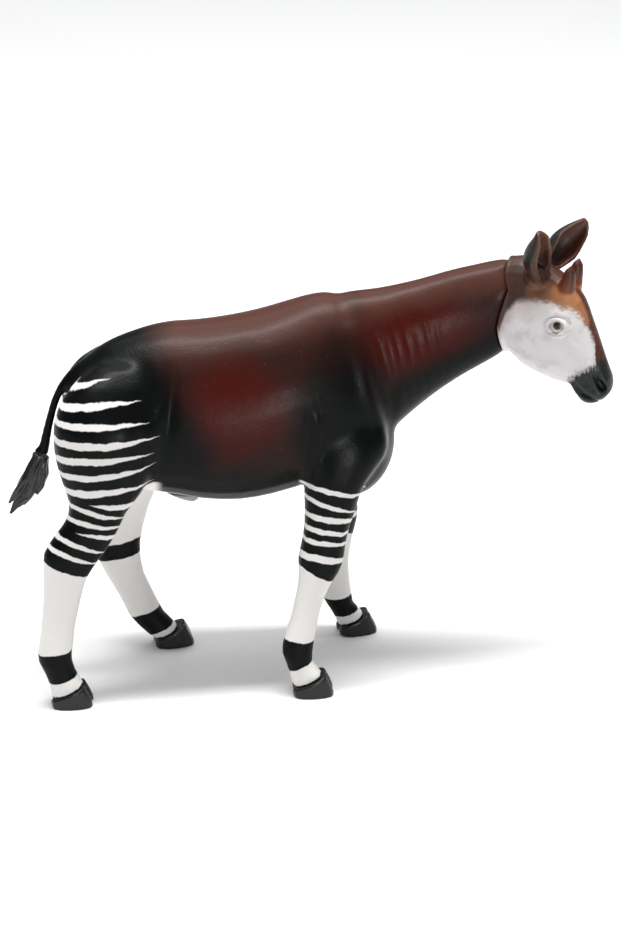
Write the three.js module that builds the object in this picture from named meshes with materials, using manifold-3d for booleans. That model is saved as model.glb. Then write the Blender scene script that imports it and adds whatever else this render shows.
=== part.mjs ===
// A painted vinyl figurine of an okapi, about 142 mm long. It stands in mid-stride with its
// head turned to its right. Millimetres: +X is forward, +Y is the animal's left, +Z is up.

import * as THREE from 'three';
import { LoftGeometry } from 'three/addons/geometries/LoftGeometry.js';
import { mergeVertices } from 'three/addons/utils/BufferGeometryUtils.js';
import Module from 'manifold-3d';

const wasm = await Module();
wasm.setup();

// Driving sizes

const GAP = 0.3; // clearance left where one piece is parted from the next
const RIGHT = - 1; // sign of y on the animal's right
const LEFT = 1;

const WITHERS = 96.3; // height of the back over the shoulders
const BACK = 90.6; // height of the back over the loin
const BELLY = 46.2; // height of the belly
const CHEST_FRONT = 19.4; // x of the foremost point of the chest
const BARREL_HALF = 17.2; // half the width of the barrel

const HEAD_YAW = THREE.MathUtils.degToRad( - 29 ); // turn of the head, to the right
const HEAD_SPOT = new THREE.Vector3( 50, - 5, 0 ); // the head's own axes start above this spot
const HEAD_SEAM = - 3.9; // where the head joins the neck, along the head's forward axis

const EYE_RADIUS = 2.1;
const EYE_SPOT = [ 9.8, 5.0, 90.8 ]; // forward, outward and up, in the head's axes
const NECK_FOOT = [ 21, 62 ]; // x and z of the parting line at the throat
const NECK_CREST = [ 8, 97 ]; // x and z of the parting line at the withers

const KNEE_CUT = 29.3; // height where the upper foreleg ends
const HOCK_CUT = 33.6; // height where the upper hind leg ends

const HOOF_LENGTH = 10;
const HOOF_WIDTH = 8;
const HOOF_SLOPE = THREE.MathUtils.degToRad( 24 ); // the coronet rises towards the toe
const HOOF_MIDDLE = 3.6; // height of the coronet over the middle of the sole

// Where each sole's middle stands, and how far its toe turns outwards in degrees

const SOLES = {
	front_right: { x: - 1.5, y: - 16.2, out: 4 },
	front_left: { x: 13.8, y: 16.4, out: 6 },
	hind_right: { x: - 59.6, y: - 14.8, out: 5 },
	hind_left: { x: - 33.2, y: 15.2, out: 5 },
};

// Vinyl paint colours

const PAINT = {
	black: { color: 0x1c2020, roughness: 0.34 },
	oxblood: { color: 0x4a1812, roughness: 0.38 },
	white: { color: 0xe6e3e6, roughness: 0.5 },
	brown: { color: 0x5d3322, roughness: 0.42 },
	eye: { color: 0xe4dccb, roughness: 0.3 },
	hoof: { color: 0x0e0f10, roughness: 0.22 },
};

const UP = new THREE.Vector3( 0, 0, 1 );
const DOWN = new THREE.Vector3( 0, 0, - 1 );
const ACROSS = new THREE.Vector3( 0, 1, 0 );

function vec( x, y, z ) {

	return new THREE.Vector3( x, y, z );

}

// A closed geometry becomes a solid: vertices that coincide are shared, empty triangles
// are dropped, and the faces are turned outwards.

function solidOf( geometry ) {

	const bare = new THREE.BufferGeometry();
	bare.setAttribute( 'position', geometry.getAttribute( 'position' ) );
	bare.setIndex( geometry.getIndex() );
	const merged = mergeVertices( bare, 1e-4 );
	const points = merged.getAttribute( 'position' );
	const corners = merged.getIndex().array;
	const kept = [];
	const a = vec(), b = vec(), c = vec();
	let volume = 0;

	for ( let i = 0; i < corners.length; i += 3 ) {

		const [ p, q, r ] = corners.slice( i, i + 3 );
		if ( p === q || q === r || r === p ) continue;
		kept.push( p, q, r );
		a.fromBufferAttribute( points, p );
		b.fromBufferAttribute( points, q );
		c.fromBufferAttribute( points, r );
		volume += a.dot( b.cross( c ) );

	}

	const outwards = volume > 0 ? kept : kept.reverse();
	return new wasm.Manifold( new wasm.Mesh( {
		numProp: 3,
		vertProperties: new Float32Array( points.array ),
		triVerts: new Uint32Array( outwards ),
	} ) );

}

function geometryOf( solid ) {

	const { vertProperties, triVerts } = largest( solid ).getMesh();
	const geometry = new THREE.BufferGeometry();
	geometry.setAttribute( 'position', new THREE.BufferAttribute( new Float32Array( vertProperties ), 3 ) );
	geometry.setIndex( new THREE.BufferAttribute( new Uint32Array( triVerts ), 1 ) );
	geometry.computeVertexNormals();
	return geometry;

}

function largest( solid ) {

	return solid.decompose().reduce( ( best, body ) => ( body.volume() > best.volume() ? body : best ) );

}

function join( solids ) {

	return solids.reduce( ( whole, solid ) => whole.add( solid ) );

}

// A rib is one cross-section of a loft: its two ends, its half width, how far its widest
// place shifts towards the first end, and how square it is (2 is an ellipse).

function rib( head, foot, half, lean = 0, square = 2 ) {

	return { head, foot, shape: vec( half, lean, square ) };

}

function ring( head, foot, shape, side, around ) {

	const middle = head.clone().add( foot ).multiplyScalar( 0.5 );
	const reach = head.clone().sub( foot ).multiplyScalar( 0.5 );
	const power = 2 / shape.z;
	const points = [];

	for ( let i = 0; i < around; i ++ ) {

		const angle = i / around * Math.PI * 2;
		const along = Math.sign( Math.cos( angle ) ) * Math.abs( Math.cos( angle ) ) ** power;
		const out = Math.sign( Math.sin( angle ) ) * Math.abs( Math.sin( angle ) ) ** power;
		const width = shape.x * ( 1 + shape.y * along );
		points.push( middle.clone().addScaledVector( reach, along ).addScaledVector( side, out * width ) );

	}

	return points;

}

// Skin a surface over sections, turning them round where they wind against their direction.

function skin( sections ) {

	const [ first, second ] = sections;
	const facing = vec();
	const travel = vec();

	first.forEach( ( point, i ) => {

		facing.add( point.clone().sub( first[ 0 ] ).cross( first[ ( i + 1 ) % first.length ].clone().sub( first[ 0 ] ) ) );
		travel.add( second[ i ] ).sub( point );

	} );

	const wound = facing.dot( travel ) > 0 ? sections : sections.map( ( section ) => section.toReversed() );
	return solidOf( new LoftGeometry( wound, { capStart: true, capEnd: true } ) );

}

// A smooth loft passes through every one of its ribs.

function loft( ribs, { side = ACROSS, steps, around } ) {

	const heads = new THREE.CatmullRomCurve3( ribs.map( ( r ) => r.head ), false, 'catmullrom' );
	const feet = new THREE.CatmullRomCurve3( ribs.map( ( r ) => r.foot ), false, 'catmullrom' );
	const shapes = new THREE.CatmullRomCurve3( ribs.map( ( r ) => r.shape ), false, 'catmullrom' );
	const sections = [];

	for ( let i = 0; i <= steps; i ++ ) {

		const t = i / steps;
		sections.push( ring( heads.getPoint( t ), feet.getPoint( t ), shapes.getPoint( t ), side, around ) );

	}

	return skin( sections );

}

// All the space beyond a plane, out to a reach, inside a square column about its normal.

function beyond( point, normal, { reach = 90, wide = 160, early = 0 } = {} ) {

	const box = new THREE.BoxGeometry( wide, wide, reach + early );
	box.translate( 0, 0, ( reach - early ) / 2 );
	box.applyQuaternion( new THREE.Quaternion().setFromUnitVectors( UP, normal ) );
	box.translate( point.x, point.y, point.z );
	return solidOf( box );

}

// Part a solid at a plane. The root stays behind it and the tip lies beyond it.

function part( solid, point, normal, options ) {

	return {
		root: solid.subtract( beyond( point, normal, { ...options, early: GAP } ) ),
		tip: solid.intersect( beyond( point, normal, options ) ),
	};

}

// Torso

const torso = loft( [
	rib( vec( - 57, 0, 76 ), vec( - 56.6, 0, 64 ), 3 ),
	rib( vec( - 55.6, 0, 79.4 ), vec( - 55.2, 0, 59 ), 8, - 0.25 ),
	rib( vec( - 52.6, 0, 83 ), vec( - 52, 0, 55 ), 11.6, - 0.3 ),
	rib( vec( - 47.6, 0, 86.4 ), vec( - 47, 0, 52 ), 14, - 0.3 ),
	rib( vec( - 41, 0, 88.8 ), vec( - 40.5, 0, 50 ), 15.4, - 0.24 ),
	rib( vec( - 34, 0, BACK - 0.2 ), vec( - 33, 0, 48.4 ), 16.2, - 0.16 ),
	rib( vec( - 26, 0, BACK ), vec( - 26, 0, BELLY + 0.6 ), BARREL_HALF - 0.2, - 0.14 ),
	rib( vec( - 18, 0, BACK + 0.9 ), vec( - 18, 0, BELLY ), BARREL_HALF, - 0.14 ),
	rib( vec( - 11, 0, BACK + 2.2 ), vec( - 11, 0, BELLY + 0.7 ), BARREL_HALF - 0.2, - 0.1 ),
	rib( vec( - 4, 0, WITHERS - 1.5 ), vec( - 4, 0, BELLY + 2.4 ), BARREL_HALF - 0.9, - 0.14 ),
	rib( vec( 2, 0, WITHERS ), vec( 3, 0, BELLY + 4.2 ), BARREL_HALF - 2, - 0.2 ),
	rib( vec( 7, 0, WITHERS - 0.8 ), vec( 10, 0, BELLY + 5.2 ), BARREL_HALF - 3.2, - 0.2 ),
	rib( vec( 11, 0, WITHERS - 7 ), vec( 15, 0, BELLY + 7 ), BARREL_HALF - 5, - 0.15 ),
	rib( vec( 14, 0, WITHERS - 15 ), vec( 18, 0, BELLY + 10 ), BARREL_HALF - 8, - 0.1 ),
	rib( vec( 16, 0, WITHERS - 23 ), vec( CHEST_FRONT, 0, BELLY + 15 ), 3 ),
], { steps: 24, around: 26 } );

// Brisket, the full rounded front of the chest

const BRISKET = vec( 12.2, 12.4, 14.4 ); // its half length, half width and half height
const BRISKET_PROUD = 1; // how far it stands in front of the torso's own front
const BRISKET_FOOT = 45; // height of its lowest point

const brisket = new THREE.SphereGeometry( 1, 24, 14 );
brisket.scale( BRISKET.x, BRISKET.y, BRISKET.z );
brisket.translate( CHEST_FRONT + BRISKET_PROUD - BRISKET.x, 0, BRISKET_FOOT + BRISKET.z );

// Neck, from inside the chest to inside the head

const neck = loft( [
	rib( vec( 0, 0, 93 ), vec( 7, 0, 57 ), 10.5 ),
	rib( vec( 8, 0, 96.2 ), vec( 16.5, 0, 59.5 ), 10.6, - 0.1 ),
	rib( vec( 15, 0, 96.8 ), vec( 21.5, 0, 63.6 ), 9.8, - 0.12 ),
	rib( vec( 21, 0, 97.8 ), vec( 26.4, 0, 67.7 ), 8.6, - 0.1 ),
	rib( vec( 27, - 0.3, 99.2 ), vec( 31.5, - 0.3, 71.6 ), 7.7, - 0.08 ),
	rib( vec( 33, - 0.8, 101 ), vec( 36.6, - 0.8, 75 ), 7.1, - 0.06 ),
	rib( vec( 39, - 1.6, 102.4 ), vec( 41.6, - 1.6, 78 ), 6.7 ),
	rib( vec( 45, - 2.6, 103.8 ), vec( 46, - 2.6, 80.9 ), 6.5 ),
	rib( vec( 50, - 4.6, 104.2 ), vec( 50, - 4.6, 83.5 ), 6 ),
], { steps: 15, around: 22 } );

// Head, in its own axes: forward, outward to the animal's left, and up

const FORWARD = vec( 1, 0, 0 ).applyAxisAngle( UP, HEAD_YAW );
const LEFTWARD = vec( 0, 1, 0 ).applyAxisAngle( UP, HEAD_YAW );

function inHead( forward, outward, up ) {

	return HEAD_SPOT.clone().addScaledVector( FORWARD, forward ).addScaledVector( LEFTWARD, outward ).setZ( up );

}

function headRib( top, bottom, half, lean, square ) {

	return rib( inHead( top[ 0 ], 0, top[ 1 ] ), inHead( bottom[ 0 ], 0, bottom[ 1 ] ), half, lean, square );

}

const skull = loft( [
	headRib( [ - 7, 103 ], [ - 6.5, 84 ], 5.6, 0, 2 ),
	headRib( [ - 3, 104.6 ], [ - 3, 81.6 ], 6.3, 0, 2 ),
	headRib( [ 2, 105 ], [ 0.4, 78.8 ], 6.6, 0, 2.1 ),
	headRib( [ 6.8, 102.9 ], [ 4.2, 77.2 ], 6.7, 0.02, 2.2 ),
	headRib( [ 10.9, 100.2 ], [ 7.8, 76 ], 6.5, 0.05, 2.2 ),
	headRib( [ 14.2, 96.6 ], [ 10.6, 75.4 ], 5.7, 0.03, 2.2 ),
	headRib( [ 16.5, 91.6 ], [ 12.2, 75.2 ], 4.8, - 0.02, 2.1 ),
	headRib( [ 18.5, 86.8 ], [ 13, 74.3 ], 4.1, - 0.02, 2.1 ),
	headRib( [ 20.1, 82.6 ], [ 13.7, 73.1 ], 3.6, 0, 2.2 ),
	headRib( [ 21.4, 79.2 ], [ 14.4, 72 ], 3.5, 0.08, 2.3 ),
	headRib( [ 22.1, 76.6 ], [ 15.5, 71.2 ], 3.4, 0.1, 2.3 ),
	headRib( [ 21.8, 74.5 ], [ 17, 71.1 ], 2.9, 0.1, 2.2 ),
	headRib( [ 20.8, 73 ], [ 18.6, 71.4 ], 1.4, 0, 2 ),
], { side: LEFTWARD, steps: 24, around: 26 } );

// An ellipsoid placed in the head's axes, turned about the outward axis by a pitch

function headEgg( spot, radii, pitch = 0, segments = 14 ) {

	const egg = new THREE.SphereGeometry( 1, segments, segments / 2 );
	egg.scale( ...radii );
	egg.rotateY( pitch );
	egg.rotateZ( HEAD_YAW );
	const place = inHead( ...spot );
	egg.translate( place.x, place.y, place.z );
	return solidOf( egg );

}

// Eyes: a ball in a socket, with the lids a raised almond ring round it

function eyeSpot( side ) {

	return [ EYE_SPOT[ 0 ], side * EYE_SPOT[ 1 ], EYE_SPOT[ 2 ] ];

}

const LID_RADIUS = 1.95;
const LID_THICK = 0.62;
const LID_STRETCH = [ 1.18, 0.95, 1 ]; // longer than high, as an almond is
const LID_PROUD = 1.15; // how far out of the eye's middle the lids lie

function lids( side ) {

	const ringOfLids = new THREE.TorusGeometry( LID_RADIUS, LID_THICK, 6, 14 );
	ringOfLids.scale( ...LID_STRETCH );
	ringOfLids.rotateX( Math.PI / 2 );
	ringOfLids.rotateZ( HEAD_YAW );
	const place = inHead( EYE_SPOT[ 0 ], side * ( EYE_SPOT[ 1 ] + LID_PROUD ), EYE_SPOT[ 2 ] );
	ringOfLids.translate( place.x, place.y, place.z );
	return solidOf( ringOfLids );

}

function eyeBall( side ) {

	return headEgg( eyeSpot( side ), [ EYE_RADIUS, EYE_RADIUS, EYE_RADIUS ] );

}

function eyeSocket( side ) {

	const radius = EYE_RADIUS + GAP;
	return headEgg( eyeSpot( side ), [ radius, radius, radius ] );

}

// Nostrils and the line of the mouth are pressed into the muzzle.

const NOSTRIL_SPOT = [ 20.6, 3.1, 76.4 ];
const NOSTRIL_RADII = [ 1.0, 1.1, 1.8 ];
const NOSTRIL_PITCH = - 0.7;
const MOUTH_RADIUS = 0.5;

function nostril( side ) {

	const [ forward, outward, up ] = NOSTRIL_SPOT;
	return headEgg( [ forward, side * outward, up ], NOSTRIL_RADII, NOSTRIL_PITCH, 10 );

}

function mouthLine( side ) {

	const corner = inHead( 12.6, side * 3.9, 77.6 );
	const middle = inHead( 14.4, side * 3.3, 75 );
	const lip = inHead( 17.2, side * 2.7, 73 );
	const front = inHead( 20.4, side * 0.2, 71.9 );
	const path = new THREE.CatmullRomCurve3( [ corner, middle, lip, front ] );
	const groove = new THREE.Shape();
	groove.absarc( 0, 0, MOUTH_RADIUS, 0, Math.PI * 2 );
	return solidOf( new THREE.ExtrudeGeometry( groove, { extrudePath: path, steps: 8, curveSegments: 3 } ) );

}

// Ears: a leaf rolled about its length, nearly a tube at the root and an open scoop above.
// Each section is an arc of wall, deeper than it is wide, whose back bows out behind the ear.

const EAR_WIDTH = 8.4;
const EAR_DEPTH = 1.02; // front to back, as a share of the width
const EAR_THICK = 0.9;
const EAR_BOW = 2.5;
const EAR_CUT = 4.6; // length of root left on the head
const EAR_FOOT = [ 2.9, 2.4, 3.2 ]; // half sizes of the swelling that each ear grows from
const EAR_STEPS = 12;
const WALL_STEPS = 8;
const EARS = {
	right: { side: RIGHT, root: [ 3.6, 3.2, 99.5 ], tip: [ 6.2, 10.2, 114 ], open: [ 0.8, 0.14, 0 ] },
	left: { side: LEFT, root: [ 2.4, 3.2, 100.4 ], tip: [ 10.9, 12.6, 111.5 ], open: [ 0.72, - 0.62, 0 ] },
};

function ear( { side, root, tip, open } ) {

	const base = inHead( root[ 0 ], side * root[ 1 ], root[ 2 ] );
	const rise = inHead( tip[ 0 ], side * tip[ 1 ], tip[ 2 ] ).sub( base );
	const axis = rise.clone().normalize();
	const front = inHead( open[ 0 ], side * open[ 1 ], open[ 2 ] ).sub( inHead( 0, 0, 0 ) );
	front.addScaledVector( axis, - front.dot( axis ) ).normalize();
	const wide = axis.clone().cross( front );
	const sections = [];

	for ( let i = 0; i <= EAR_STEPS; i ++ ) {

		const t = i / EAR_STEPS;
		const leaf = Math.sin( Math.PI * ( 0.2 + 0.8 * t ) ** 1.1 ) ** 0.55;
		const half = EAR_WIDTH / 2 * Math.max( 0.2, leaf * ( 0.5 + 0.5 * Math.min( 1, t * 1.9 ) ) );
		const deep = half * EAR_DEPTH;
		const sweep = Math.PI * ( 0.8 - 0.27 * Math.min( 1, t * 1.6 ) ); // half the arc of the wall
		const middle = deep - 1 - EAR_BOW * Math.sin( Math.PI * t ) ** 1.6;
		const wall = EAR_THICK * ( 1 - 0.3 * t ) * ( t < 0.2 ? 1.6 : 1 );
		const outside = [];
		const inside = [];

		for ( let j = 0; j <= WALL_STEPS; j ++ ) {

			const angle = sweep * ( j / WALL_STEPS * 2 - 1 );
			const across = Math.sin( angle );
			const out = Math.cos( angle );
			outside.push( [ half * across, middle - deep * out ] );
			inside.unshift( [ Math.max( 0.1, half - wall ) * across, middle - Math.max( 0.1, deep - wall ) * out ] );

		}

		const centre = base.clone().addScaledVector( rise, t );
		sections.push( [ ...outside, ...inside ].map( ( [ across, out ] ) =>
			centre.clone().addScaledVector( wide, across ).addScaledVector( front, out ) ) );

	}

	const { root: stub, tip: scoop } = part( skin( sections ), base.clone().addScaledVector( axis, EAR_CUT ), axis,
		{ reach: 30, wide: 40 } );
	const foot = headEgg( [ root[ 0 ], side * ( root[ 1 ] + 0.8 ), root[ 2 ] + 1.8 ], EAR_FOOT );
	return { root: stub.add( foot ), tip: scoop };

}

// Ossicones: short, blunt horns between the ears and the eyes

const OSSICONE_HEIGHT = 9.6;
const OSSICONE_BASE = 2.3;
const OSSICONE_CUT = 4.8; // length of root left on the brow

function ossicone( side ) {

	const root = inHead( 10.4, side * 3, 95.6 );
	const aim = inHead( 0.16, side * 0.04, 1 ).sub( inHead( 0, 0, 0 ) ).normalize();
	const profile = [ new THREE.Vector2( 0, 0 ) ];

	for ( let i = 0; i <= 6; i ++ ) {

		const t = i / 6;
		const radius = OSSICONE_BASE * ( 1 - 0.42 * t ) * Math.sqrt( 1 - t ** 5 );
		profile.push( new THREE.Vector2( radius, OSSICONE_HEIGHT * t ) );

	}

	const horn = new THREE.LatheGeometry( profile, 12 );
	horn.applyQuaternion( new THREE.Quaternion().setFromUnitVectors( ACROSS, aim ) );
	horn.translate( root.x, root.y, root.z );
	const cut = root.clone().addScaledVector( aim, OSSICONE_CUT );
	return part( solidOf( horn ), cut, aim, { reach: 20, wide: 30 } );

}

// Legs: level rings from inside the body down to the hoof. Each row holds the ring's
// height, its middle's distance from the centre plane, its half width, and the x of its
// rear and front edges on the right leg and on the left leg, which stride differently.

const FORELEG = [
	[ 66, 8.5, 6.2, - 4, 16, - 4, 16 ],
	[ 61, 9.8, 6.6, - 4.2, 17, - 4.2, 16.8 ],
	[ 56.5, 10.8, 6.3, - 3.8, 14.6, - 3.4, 15 ],
	[ 53, 11.4, 5.9, - 3.2, 12, - 2.2, 13.8 ],
	[ 50, 11.9, 5.4, - 3, 10.4, - 0.8, 13.2 ],
	[ 46, 12.4, 5, - 3, 9.1, 0.4, 13 ],
	[ 42, 12.9, 4.6, - 3.2, 7.7, 1.2, 13 ],
	[ 38, 13.4, 4.3, - 4, 6.8, 2, 13.3 ],
	[ 34.8, 13.7, 4.2, - 4.7, 6.4, 2.6, 13.6 ],
	[ 32, 14, 4.1, - 4.6, 5.5, 3, 13.3 ],
	[ 28, 14.4, 3.6, - 4.9, 3, 3.6, 12.5 ],
	[ 24.6, 14.7, 3.2, - 5.6, 1.4, 4, 11.9 ],
	[ 20, 15, 3, - 6.6, 0.2, 4.3, 11.5 ],
	[ 15, 15.4, 3.2, - 8.2, - 0.8, 4.2, 11.9 ],
	[ 11.5, 15.7, 3.4, - 8.9, - 1.4, 4.6, 12.4 ],
	[ 8, 15.9, 3.1, - 7.8, - 1.4, 6.2, 13 ],
	[ 5, 16.1, 3.4, - 7, 1.2, 8, 15.8 ],
	[ 2, 16.2, 3.5, - 6.2, 2.6, 9, 17.5 ],
];

const HIND_LEG = [
	[ 83, 6.5, 3.4, - 50, - 40, - 50, - 38 ],
	[ 77.5, 8.6, 6.6, - 58, - 37, - 56.5, - 34.5 ],
	[ 70.5, 10.2, 8.5, - 61.2, - 35.8, - 59, - 31.8 ],
	[ 63, 10.9, 8.2, - 61.4, - 36.4, - 57.6, - 31.4 ],
	[ 57, 11.6, 6.9, - 60.1, - 39.4, - 54.6, - 32.3 ],
	[ 53, 12, 6, - 58.8, - 41.4, - 52.7, - 33.2 ],
	[ 49.3, 12.4, 5.2, - 58.4, - 44.6, - 51.6, - 34.4 ],
	[ 45.5, 12.8, 4.7, - 60.3, - 46.4, - 51.9, - 35.8 ],
	[ 42, 13.1, 4.3, - 63.1, - 48.3, - 53.3, - 37.2 ],
	[ 39, 13.4, 4, - 64.8, - 50.4, - 55, - 38.4 ],
	[ 35.7, 13.7, 3.8, - 65.1, - 52.9, - 55.9, - 39.3 ],
	[ 32, 14, 3.5, - 65.1, - 55.1, - 54.9, - 40.2 ],
	[ 27.5, 14.2, 3.2, - 65.4, - 56.4, - 52.9, - 41 ],
	[ 21, 14.5, 3, - 66.1, - 58, - 50, - 40.3 ],
	[ 16, 14.8, 3.3, - 66.9, - 58.7, - 47.5, - 38.5 ],
	[ 12.5, 14.9, 3.5, - 67.3, - 59.3, - 45.8, - 37 ],
	[ 8.5, 15, 3.2, - 65.7, - 58.3, - 44.2, - 35.2 ],
	[ 5, 15, 3.5, - 64.7, - 56.4, - 41.3, - 32 ],
	[ 2, 15, 3.6, - 64.4, - 55.4, - 38.3, - 29.4 ],
];

function leg( rows, side, steps ) {

	const ribs = rows.map( ( [ z, out, half, rearRight, frontRight, rearLeft, frontLeft ] ) => {

		const rear = side === RIGHT ? rearRight : rearLeft;
		const front = side === RIGHT ? frontRight : frontLeft;
		return rib( vec( front, side * out, z ), vec( rear, side * out, z ), half, 0.08, 2.15 );

	} );
	return loft( ribs, { steps, around: 14 } );

}

// The space that a leg takes: everything below a line that rises from the inner edge of
// the leg to its outer side. Growing it moves the two inner faces by that much.

function legSpace( side, [ rear, front ], inner, foot, rise, grow = 0 ) {

	const outer = 40;
	const edge = inner - grow;
	const lift = foot + grow / Math.cos( Math.atan( rise ) );
	const shape = new THREE.Shape();
	shape.moveTo( side * edge, - 5 );
	shape.lineTo( side * edge, lift );
	shape.lineTo( side * outer, lift + rise * ( outer - edge ) );
	shape.lineTo( side * outer, - 5 );
	shape.closePath();
	const prism = new THREE.ExtrudeGeometry( shape, { depth: front - rear, bevelEnabled: false } );
	prism.applyMatrix4( new THREE.Matrix4().makeBasis( ACROSS, UP, vec( 1, 0, 0 ) ) );
	prism.translate( rear, 0, 0 );
	return solidOf( prism );

}

// Hooves: two claws side by side, flat below, cut off above at the sloping coronet

function coronet( { x, y } ) {

	const normal = vec( Math.sin( HOOF_SLOPE ), 0, - Math.cos( HOOF_SLOPE ) );
	return { point: vec( x - 0.8, y, HOOF_MIDDLE ), normal };

}

function claw( side ) {

	const ribs = [
		[ 0, - 4.6, 5 ],
		[ 1.2, - 4.8, 4.9 ],
		[ 3, - 4.6, 4.2 ],
		[ 5, - 4, 3.2 ],
		[ 7, - 3.6, 2.2 ],
	].map( ( [ z, rear, front ] ) => {

		const scale = HOOF_LENGTH / 10;
		const middle = side * HOOF_WIDTH * 0.235;
		return rib( vec( front * scale, middle * 0.94, z ), vec( rear * scale, middle, z ), HOOF_WIDTH * 0.27, - 0.12, 2.2 );

	} );
	return loft( ribs, { steps: 4, around: 12 } );

}

function hoof( sole, side ) {

	const pair = claw( RIGHT ).add( claw( LEFT ) ).rotate( [ 0, 0, side * sole.out ] ).translate( [ sole.x, sole.y, 0 ] );
	const { point, normal } = coronet( sole );
	return pair.intersect( beyond( point, normal, { reach: 30, wide: 30 } ) );

}

// Tail: a thin stem that hangs close behind the thighs, and a tuft of moulded locks

const TAIL = [
	[ 82.2, - 54.2, - 50, 2.4 ],
	[ 79, - 57.8, - 54, 2.1 ],
	[ 75, - 60.6, - 57.8, 1.8 ],
	[ 70, - 62.4, - 59.8, 1.5 ],
	[ 64, - 64, - 61.3, 1.4 ],
	[ 58.5, - 65.5, - 62.3, 1.6 ],
	[ 55, - 67, - 63, 1.8 ],
];
const TAIL_CUT = vec( - 58.6, 0, 77 );
const TUFT_CUT = vec( - 64, 0, 58.6 );
const TAIL_AIM = vec( - 0.34, 0, - 0.94 ).normalize();

const tailStem = loft(
	TAIL.map( ( [ z, rear, front, half ] ) => rib( vec( rear, 0, z ), vec( front, 0, z ), half ) ),
	{ steps: 10, around: 8 },
);

function lock( { lift, spread, length, thick } ) {

	const start = vec( - 64.2, spread * 0.25, 60 );
	const end = vec( - 64.2 - 8 * length - lift, spread * 0.8, 60 - 16 * length + lift * 0.6 );
	const bend = start.clone().lerp( end, 0.5 ).add( vec( 1.4 - lift * 0.3, spread * 0.45, - 0.6 ) );
	const path = new THREE.QuadraticBezierCurve3( start, bend, end );
	const ribs = [];

	for ( let i = 0; i <= 4; i ++ ) {

		const t = i / 4;
		const place = path.getPoint( t );
		const along = path.getTangent( t );
		const back = ACROSS.clone().cross( along ).normalize();
		const half = thick * ( 0.75 + 0.7 * t ) * ( 1 - 0.9 * t ** 3 );
		ribs.push( rib( place.clone().addScaledVector( back, half ), place.clone().addScaledVector( back, - half ), half * 0.9 ) );

	}

	return loft( ribs, { steps: 4, around: 6 } );

}

const LOCKS = [
	{ lift: - 0.8, spread: 0, length: 0.86, thick: 2.3 },
	{ lift: 0, spread: 0, length: 1, thick: 1.5 },
	{ lift: - 1.8, spread: 0.6, length: 0.82, thick: 1.25 },
	{ lift: - 3.2, spread: - 0.6, length: 0.6, thick: 1.1 },
	{ lift: 1.2, spread: - 1, length: 0.86, thick: 1.5 },
	{ lift: 1, spread: 1.2, length: 0.72, thick: 1.2 },
	{ lift: - 1.6, spread: - 1.5, length: 0.7, thick: 1.1 },
	{ lift: - 1.2, spread: 1.7, length: 0.66, thick: 1.1 },
];

// Sheath, a small nub under the rear of the belly

const sheath = loft( [
	rib( vec( - 30, 0, 50 ), vec( - 37, 0, 50 ), 2.4 ),
	rib( vec( - 28, 0, 47.6 ), vec( - 35, 0, 47.6 ), 2.2 ),
	rib( vec( - 27.2, 0, 46.2 ), vec( - 32, 0, 46 ), 1.8 ),
	rib( vec( - 27, 0, 45.3 ), vec( - 29.4, 0, 45 ), 0.9 ),
], { steps: 6, around: 12 } );

// Join the body, then part it into its named pieces

const ears = { right: ear( EARS.right ), left: ear( EARS.left ) };
const ossicones = { right: ossicone( RIGHT ), left: ossicone( LEFT ) };
const tailParts = part( tailStem, TAIL_CUT, TAIL_AIM, { reach: 40, wide: 40 } );
const tuftParts = part( join( [ tailParts.tip, ...LOCKS.map( lock ) ] ), TUFT_CUT, TAIL_AIM, { reach: 40, wide: 60 } );
const sheathParts = part( sheath, vec( - 31, 0, 46.9 ), DOWN, { reach: 20, wide: 40 } );

const foreRight = leg( FORELEG, RIGHT, 24 );
const foreLeft = leg( FORELEG, LEFT, 24 );
const hindRight = leg( HIND_LEG, RIGHT, 26 );
const hindLeft = leg( HIND_LEG, LEFT, 26 );

const body = join( [ torso, solidOf( brisket ), neck, skull, lids( RIGHT ), lids( LEFT ), ears.right.root, ears.left.root,
	ossicones.right.root, ossicones.left.root, tailParts.root, sheathParts.root,
	foreRight, foreLeft, hindRight, hindLeft ] );

const headParts = part( body, inHead( HEAD_SEAM, 0, 92 ), FORWARD, { reach: 60, wide: 80 } );
const hollows = join( [ eyeSocket( RIGHT ), eyeSocket( LEFT ), nostril( RIGHT ), nostril( LEFT ),
	mouthLine( RIGHT ), mouthLine( LEFT ) ] );
const head = headParts.tip.subtract( hollows );

const neckLine = vec( NECK_CREST[ 1 ] - NECK_FOOT[ 1 ], 0, NECK_FOOT[ 0 ] - NECK_CREST[ 0 ] ).normalize();
const neckParts = part( headParts.root, vec( NECK_FOOT[ 0 ], 0, NECK_FOOT[ 1 ] ), neckLine, { reach: 80 } );

const LEG_SPACES = {
	front_right: [ RIGHT, [ - 10, 24 ], 5.6, 49.5, 0.6 ],
	front_left: [ LEFT, [ - 10, 24 ], 5.6, 49.5, 0.6 ],
	hind_right: [ RIGHT, [ - 80, - 34 ], 3.6, 50, 0.9 ],
	hind_left: [ LEFT, [ - 80, - 30 ], 3.6, 50, 0.9 ],
};

const pieces = {};
let trunk = neckParts.root;

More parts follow.
